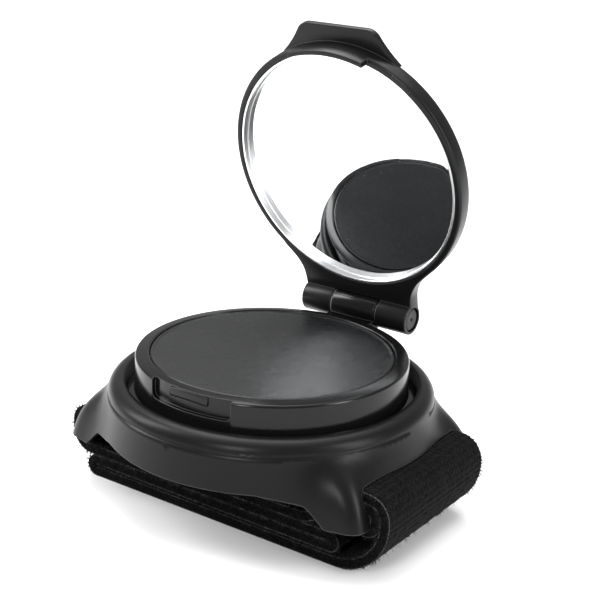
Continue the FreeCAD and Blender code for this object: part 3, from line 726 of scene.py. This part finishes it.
class MIRROR_OT_strap_parts(bpy.types.Operator):
    """Add the hook patch, the stitches and the end binding"""
    bl_idname = "wrist_mirror.strap_parts"
    bl_label = "Strap patch and stitches"

    def execute(self, context):
        colour = settings().strap.colour
        low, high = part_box("hook_patch")
        outline = [(low.x, low.y), (high.x, low.y), (high.x, high.y), (low.x, high.y)]
        patch = plain_object(slab([(x / MM, y / MM, 3.0) for x, y in outline], low.z / MM, high.z / MM, 0.15),
                             "hook_patch_tape")
        dressed(patch, pile("HookTape", colour, ribbed=False), "base", "hook_tape", "hook_patch")
        thread = pile("Thread", shade(colour, 2.0), ribbed=False, light=3.0)
        low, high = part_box("strap_stitches")
        bm = bmesh.new()
        pitch = settings().strap.width / STITCHES
        size = Vector((1.2 * MM, 0.3 * MM, 0.22 * MM))
        for row in range(STITCH_ROWS):
            for k in range(STITCHES):
                place = Vector((low.x + size.x + row * STITCH_ROW_PITCH * MM, (k - STITCHES // 2) * pitch,
                                high.z - 0.05 * MM))
                bmesh.ops.create_uvsphere(bm, u_segments=8, v_segments=6, radius=1.0,
                                          matrix=Matrix.LocRotScale(place, None, size))
        dressed(plain_object(bm, "stitch_rows"), thread, "base", "thread", "strap_stitches", sharp=80)
        low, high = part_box("strap_end_binding")
        middle = (low.z + high.z) / 2 / MM
        half = (high.z - low.z) / 2 / MM - BINDING_SKIN / 2
        fold = low.x / MM + BINDING_SKIN / 2
        route = [(high.x / MM, middle - half, 0.0), (fold, middle - half, 0.5),
                 (fold, middle + half, 0.5), (high.x / MM, middle + half, 0.0)]
        binding, _ = band(route, high.y - low.y, BINDING_SKIN * MM, "end_binding", rounding=0.05 * MM)
        dressed(binding, pile("Binding", shade(colour, 1.6)), "base", "binding_fabric", "strap_end_binding")
        return {"FINISHED"}


# ---- turning case -------------------------------------------------------------------------------------

class MIRROR_OT_case(bpy.types.Operator):
    """Add the turning case with its latch recess and middle knuckle"""
    bl_idname = "wrist_mirror.case"
    bl_label = "Turning case"

    def execute(self, context):
        sizes = settings().case
        rim = sizes.rim_rounding / MM
        plastic = moulded("CasePlastic", sizes.colour, 0.17, grain=0.003, edge_highlight=24.0, edge=0.2, specular=0.22)
        inner = CASE_RADIUS - CASE_WALL
        floor = CASE_BOTTOM + CASE_WALL
        flange_top = CASE_BOTTOM + FLANGE_HEIGHT
        rim_top = CASE_TOP - RIM_DROP
        under_ledge = SEAT_HEIGHT - LEDGE_THICKNESS
        case = plain_object(spun([
            (SCREW_HOLE, SPINDLE_BOTTOM, 0), (SPINDLE_RADIUS, SPINDLE_BOTTOM, 0.2),
            (SPINDLE_RADIUS, CASE_BOTTOM, 0), (FLANGE_RADIUS, CASE_BOTTOM, 0.2),
            (FLANGE_RADIUS, flange_top, 0.2), (CASE_RADIUS, flange_top, 0.3),
            (CASE_RADIUS, rim_top - RIM_SLOPE, rim), (CASE_RADIUS - RIM_STEP, rim_top, 0.1),
            (LIP_RADIUS, CASE_TOP, 0.12), (SEAT_RADIUS, CASE_TOP - 0.2, 0.1), (SEAT_RADIUS, SEAT_HEIGHT, 0),
            (LEDGE_RADIUS, SEAT_HEIGHT, 0), (LEDGE_RADIUS, under_ledge, 0),
            (inner, under_ledge - (inner - LEDGE_RADIUS), 0), (inner, floor, 0), (SCREW_HOLE, floor, 0)]),
            "turning_case_shell")
        arm = slab(oblong(KNUCKLE_HALF, INSIDE_WALL, HINGE.y / MM), HINGE.z / MM - KNUCKLE_RADIUS, ARM_TOP)
        opening = slab(oblong(RECESS_HALF, RECESS_LOW, CASE_TOP + 2, RECESS_CORNER), 24.0, 33.0)
        window = plain_object(moved(opening, Matrix.Rotation(math.radians(90), 4, "X")), "window")
        behind = spun([(0, 28, 0), (RECESS_RADIUS, 28, 0), (RECESS_RADIUS, 37, 0), (0, 37, 0)])
        combined(window, ("DIFFERENCE", behind))
        at_hinge = Matrix.Translation(HINGE)
        combined(case, ("DIFFERENCE", taken(window)), ("UNION", arm),
                 ("UNION", moved(rod(KNUCKLE_RADIUS, KNUCKLE_HALF, 0.25), at_hinge)),
                 ("DIFFERENCE", moved(rod(PIN_RADIUS + PIN_PLAY, 8.0), at_hinge)))
        dressed(case, plastic, "turntable", "case_plastic", "turning_case")
        nib = slab(oblong(NIB_HALF, INSIDE_WALL, NIB_RADIUS, 0, 0.3), NIB_LOW, NIB_HIGH, 0.2)
        dressed(plain_object(moved(nib, ABOUT), "latch_nib"), plastic, "turntable", "case_plastic")
        plate = plain_object(spun([
            (0, PLATE_LOW, 0), (PLATE_RADIUS, PLATE_LOW, 0.1), (PLATE_RADIUS, PLATE_HIGH + 0.13, 0.22),
            (PLATE_RADIUS - 0.5, PLATE_HIGH + 0.2, 0.1), (PLATE_RADIUS - PLATE_BEAD, PLATE_HIGH, 0.1),
            (0, PLATE_HIGH, 0)]), "plate")
        satin = moulded("PlatePlastic", sizes.plate_colour, 0.27, grain=0.003, edge_highlight=6.0, edge=0.15,
                        specular=0.25)
        dressed(plate, satin, "turntable", "plate_plastic", "face_plate")
        return {"FINISHED"}


class MIRROR_OT_case_parts(bpy.types.Operator):
    """Finish the turning axis: its screw, disc, spring washer and adhesive"""
    bl_idname = "wrist_mirror.case_parts"
    bl_label = "Turning axis"

    def execute(self, context):
        steel = metal("TurningSteel", (0.52, 0.52, 0.54), 0.3)
        for node in ("retaining_disc", "swivel_screw"):
            finish_node(node, steel)
        finish_node("spring_washer", metal("SpringSteel", (0.36, 0.36, 0.38), 0.26, turned=False))
        finish_node("plate_adhesive", tape("Adhesive", (0.55, 0.54, 0.5)))
        return {"FINISHED"}


# ---- lid ----------------------------------------------------------------------------------------------

class MIRROR_OT_lid(bpy.types.Operator):
    """Add the lid's frame with its neck, tab and ledge"""
    bl_idname = "wrist_mirror.lid"
    bl_label = "Lid frame"

    def execute(self, context):
        colour = settings().lid.colour
        plastic = moulded("LidPlastic", colour, 0.30, grain=0.005, edge_highlight=16.0, edge=0.25, specular=0.18)
        back = LID_FACE + LID_THICKNESS
        pocket_top = LID_FACE + POCKET_DEPTH
        catch_low = LID_FACE - CATCH_REACH
        lid = plain_object(moved(spun([
            (0, pocket_top, 0), (POCKET_RADIUS, pocket_top, 0), (POCKET_RADIUS, LID_FACE, 0.12),
            (LID_RADIUS - 0.35, LID_FACE, 0.25), (LID_RADIUS, LID_FACE + 0.4, 0.15), (LID_RADIUS, back, 1.3),
            (0, back, 0)]), LID_MIDDLE), "lid_shell")
        neck = both_sides([(-BARREL_HALF, 0, 0), (-14.6, -5.0, 2.0), (-15.4, -9.0, 3.0), (-20.0, -13.5, 0)])
        tab = both_sides([(-15.2, LID_AWAY - 25.9, 0), (-12.2, LID_AWAY - 28.9, 2.5),
                          (-9.3, LID_AWAY - 33.5, 1.6)])
        catch = plain_object(slab(oblong(CATCH_HALF, LID_AWAY - 31.0, LID_AWAY - 24.0), catch_low,
                                  LID_FACE + 0.6), "catch")
        ring = spun([(CATCH_RADIUS, catch_low, 0.25), (LID_RADIUS, catch_low, 0.25),
                     (LID_RADIUS, LID_FACE + 0.5, 0), (CATCH_RADIUS, LID_FACE + 0.5, 0)])
        combined(catch, ("INTERSECT", moved(ring, LID_MIDDLE)))
        pocket = moved(spun([(0, LID_FACE - 5, 0), (POCKET_RADIUS, LID_FACE - 5, 0),
                             (POCKET_RADIUS, pocket_top, 0), (0, pocket_top, 0)]), LID_MIDDLE)
        cap_wells = [("DIFFERENCE", moved(rod(CAP_RADIUS + 0.35, 1.0), shift(side * (CAP_SEAT + 1.0), 0, 0)))
                     for side in (-1, 1)]
        combined(lid, ("UNION", slab(neck, LID_FACE, LID_FACE + NECK_THICKNESS, 0.3)),
                 ("UNION", slab(tab, back - TAB_THICKNESS, back, 0.25)), ("UNION", taken(catch)),
                 ("UNION", rod(KNUCKLE_RADIUS, BARREL_HALF, 0.3)), ("DIFFERENCE", pocket),
                 ("DIFFERENCE", rod(KNUCKLE_RADIUS + KNUCKLE_PLAY, KNUCKLE_HALF + KNUCKLE_PLAY)),
                 ("DIFFERENCE", rod(PIN_RADIUS, 16.0)), *cap_wells)
        lid.data.transform(LID_PLACE)
        dressed(lid, plastic, "lid", "lid_plastic", "lid_frame", sharp=34)
        rib = spun([(29.15, LID_FACE - 0.35, 0.12), (29.75, LID_FACE - 0.35, 0.12),
                    (29.75, LID_FACE + 0.2, 0), (29.15, LID_FACE + 0.2, 0)], 12, math.radians(10))
        start = Matrix.Rotation(math.atan2(-25.4, 15.3), 4, "Z")
        rib = plain_object(moved(rib, start, LID_MIDDLE, LID_PLACE), "rim_rib")
        dressed(rib, plastic, "lid", "lid_plastic")
        return {"FINISHED"}


class MIRROR_OT_mirror(bpy.types.Operator):
    """Add the domed mirror and the pad behind it"""
    bl_idname = "wrist_mirror.mirror"
    bl_label = "Mirror"

    def execute(self, context):
        sizes = settings().lid
        bulge = sizes.bulge / MM
        edge = LID_FACE + MIRROR_EDGE_DEPTH
        foot = LID_FACE + 0.1
        curve = (MIRROR_RADIUS ** 2 + bulge ** 2) / (2 * bulge)
        reach = [MIRROR_RADIUS * k / MIRROR_RINGS for k in range(MIRROR_RINGS)]
        dome = [(radius, edge - bulge + curve - math.sqrt(curve ** 2 - radius ** 2), 0) for radius in reach]
        back = LID_FACE + MIRROR_BACK
        wall = [(MIRROR_RADIUS - 0.25, edge, 0.1), (MIRROR_RADIUS, edge - 0.2, 0.1),
                (MIRROR_RADIUS, foot, 0.1), (MIRROR_WALL_RADIUS, foot, 0.1), (MIRROR_WALL_RADIUS, back, 0),
                (0, back, 0)]
        mirror = plain_object(moved(spun(dome + wall, 160), LID_MIDDLE, LID_PLACE), "mirror_dome")
        dressed(mirror, silvered("Silvering", sizes.silver), "lid", "mirror_metal", "mirror_insert", sharp=30)
        mirror.data.materials.append(metal("SilveredWall", shade(sizes.silver, 1.05), 0.30))
        middle = LID_PLACE @ LID_MIDDLE.translation
        out = LID_PLACE.to_3x3() @ Vector((0, 0, 1))
        for face in mirror.data.polygons:
            arm = face.center - middle
            if (arm - out * arm.dot(out)).length > (MIRROR_RADIUS - 0.35) * MM:
                face.material_index = 1
        finish_node("mirror_pad", tape("PadFoam", (0.18, 0.18, 0.18)))
        return {"FINISHED"}


class MIRROR_OT_hinge(bpy.types.Operator):
    """Add the hinge pin, its end caps and the washers"""
    bl_idname = "wrist_mirror.hinge"
    bl_label = "Hinge"

    def execute(self, context):
        finish_node("hinge_pin", metal("PinSteel", (0.55, 0.55, 0.56), 0.28))
        finish_node("hinge_washers", moulded("WasherPlastic", (0.25, 0.25, 0.25), 0.4))
        grey = moulded("CapPlastic", (0.020, 0.020, 0.022), 0.40, grain=0.006, edge_highlight=4.0, edge=0.1)
        for side, name in ((1, "right_pin_cap"), (-1, "left_pin_cap")):
            cap = moved(spun([(0, CAP_SEAT, 0), (CAP_RADIUS, CAP_SEAT, 0),
                              (CAP_RADIUS, CAP_FACE - 0.15, 0.15), (CAP_RADIUS - 0.5, CAP_FACE, 0.1),
                              (0.45, CAP_FACE, 0.05), (0.35, CAP_FACE - 0.3, 0.05),
                              (0, CAP_FACE - 0.3, 0)], 64), LIE_DOWN)
            if side < 0:
                moved(cap, ABOUT)
            piece = dressed(plain_object(moved(cap, LID_PLACE), name), grey, "lid", "cap_plastic")
            if side > 0:
                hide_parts("pin_caps")
        return {"FINISHED"}


# ---- stage --------------------------------------------------------------------------------------------

CAMERA_PLACE = Vector((0.16358, -0.22726, 0.14168))
CAMERA_AIM = Vector((0.00458, 0.00316, 0.04587))
CAMERA_ROLL = math.radians(2.081)
CAMERA_LENS = 82.1
CAMERA_SENSOR = 36.0
FLOOR_HALF = 4.0
WORLD_STRENGTH = 0.50
SUN_STRENGTH = 1.9
LIGHT_AIM = Vector((0, 0, 0.03))
SOFTBOXES = (
    ("top_light", (-0.25, 0.25, 0.75), (0.6, 0.6), 5.0),
    ("left_light", (-0.60, -0.25, 0.45), (0.2, 0.5), 4.5),
    ("right_light", (0.62, 0.05, 0.30), (0.15, 0.5), 3.0),
    ("front_light", (0.15, -0.75, 0.50), (0.12, 0.3), 3.0),
)


def softbox(name, place, size, power):
    """An oblong light that faces the piece."""
    light = bpy.data.lights.new(name, "AREA")
    light.shape = "RECTANGLE"
    light.size, light.size_y = size
    light.energy = power
    lamp = bpy.data.objects.new(name, light)
    lamp.location = place
    lamp.rotation_euler = (LIGHT_AIM - Vector(place)).to_track_quat("-Z", "Y").to_euler()
    bpy.context.scene.collection.objects.link(lamp)


class MIRROR_OT_stage(bpy.types.Operator):
    """Add the floor, the lights and the camera"""
    bl_idname = "wrist_mirror.stage"
    bl_label = "Stage"

    def execute(self, context):
        bm = bmesh.new()
        bmesh.ops.create_grid(bm, x_segments=4, y_segments=4, size=FLOOR_HALF)
        floor = plain_object(bm, "floor")
        pale = Finish("PaleFloor")
        pale.set(Base_Color=pale.mix(pale.noise(3.0), shade((0.93, 0.93, 0.93)), shade((0.95, 0.95, 0.95))),
                 Roughness=0.9, Specular_IOR_Level=0.1)
        floor.data.materials.append(pale.material)
        world = bpy.data.worlds.new("Studio")
        world.use_nodes = True
        sky = world.node_tree.nodes["Background"]
        sky.inputs["Color"].default_value = (1.0, 1.0, 1.0, 1.0)
        sky.inputs["Strength"].default_value = WORLD_STRENGTH
        context.scene.world = world
        context.scene.view_settings.view_transform = "Standard"
        for name, place, size, power in SOFTBOXES:
            softbox(name, place, size, power)
        sun = bpy.data.objects.new("even_light", bpy.data.lights.new("even_light", "SUN"))
        sun.data.energy = SUN_STRENGTH
        sun.data.angle = math.radians(70)
        sun.rotation_euler = (math.radians(-12), math.radians(-8), 0)
        context.scene.collection.objects.link(sun)
        data = bpy.data.cameras.new("Camera")
        data.lens = CAMERA_LENS
        data.sensor_width = CAMERA_SENSOR
        data.clip_start = 0.01
        camera = bpy.data.objects.new("Camera", data)
        camera.location = CAMERA_PLACE
        look = (CAMERA_AIM - CAMERA_PLACE).to_track_quat("-Z", "Y").to_matrix()
        camera.rotation_euler = (look @ Matrix.Rotation(CAMERA_ROLL, 3, "Z")).to_euler()
        context.scene.collection.objects.link(camera)
        context.scene.camera = camera
        return {"FINISHED"}


STEPS = (MIRROR_OT_stage, MIRROR_OT_base, MIRROR_OT_base_parts, MIRROR_OT_strap, MIRROR_OT_strap_parts,
         MIRROR_OT_case, MIRROR_OT_case_parts, MIRROR_OT_lid, MIRROR_OT_mirror, MIRROR_OT_hinge)


class MIRROR_PT_panel(bpy.types.Panel):
    bl_label = "Wrist mirror"
    bl_idname = "MIRROR_PT_panel"
    bl_space_type = "VIEW_3D"
    bl_region_type = "UI"
    bl_category = "Mirror"

    def draw(self, context):
        sizes = context.scene.wrist_mirror
        for group in (sizes.base, sizes.case, sizes.lid, sizes.strap):
            column = self.layout.box().column()
            for name in group.__annotations__:
                column.prop(group, name)
        for step in STEPS:
            self.layout.operator(step.bl_idname)


GROUPS = (BaseSettings, CaseSettings, LidSettings, StrapSettings, MirrorSettings)
CLASSES = GROUPS + STEPS + (MIRROR_PT_panel,)


def register():
    """Adds the panel, the steps and their settings."""
    for cls in CLASSES:
        bpy.utils.register_class(cls)
    bpy.types.Scene.wrist_mirror = PointerProperty(type=MirrorSettings)


def unregister():
    """Takes away what register added."""
    del bpy.types.Scene.wrist_mirror
    for cls in reversed(CLASSES):
        bpy.utils.unregister_class(cls)


def main():
    """Builds every piece in turn."""
    register()
    for step in STEPS:
        group, name = step.bl_idname.split(".")
        getattr(getattr(bpy.ops, group), name)()


if __name__ == "__main__":
    main()
